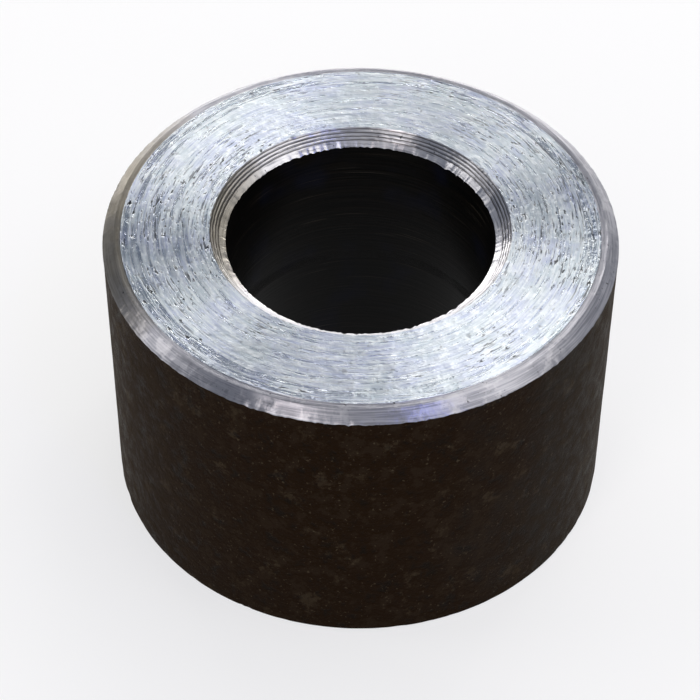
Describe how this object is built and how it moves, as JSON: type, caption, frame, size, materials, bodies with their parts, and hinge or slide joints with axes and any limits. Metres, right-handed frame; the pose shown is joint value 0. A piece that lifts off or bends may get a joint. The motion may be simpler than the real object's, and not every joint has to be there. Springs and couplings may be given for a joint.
{
  "type": "spacer sleeve",
  "caption": "Short thick-walled steel spacer sleeve turned from black bar, with bright faced ends, a chamfered outer edge and a plain through bore with countersunk mouths.",
  "frame": {"origin": "centre of the bore on the lower end face, on the surface that the sleeve stands on", "axes": "+Z along the bore axis, towards the end with the turned outer chamfer; X and Y are free, because the sleeve is round"},
  "size_m": [0.04, 0.04, 0.025],
  "materials": {
    "steel": "bright turned end faces, chamfers and bore mouths; dull dark bore; brown-black mill scale on the outside"
  },
  "bodies": {
    "root": {"spacer_sleeve": "steel"}
  },
  "joints": []
}
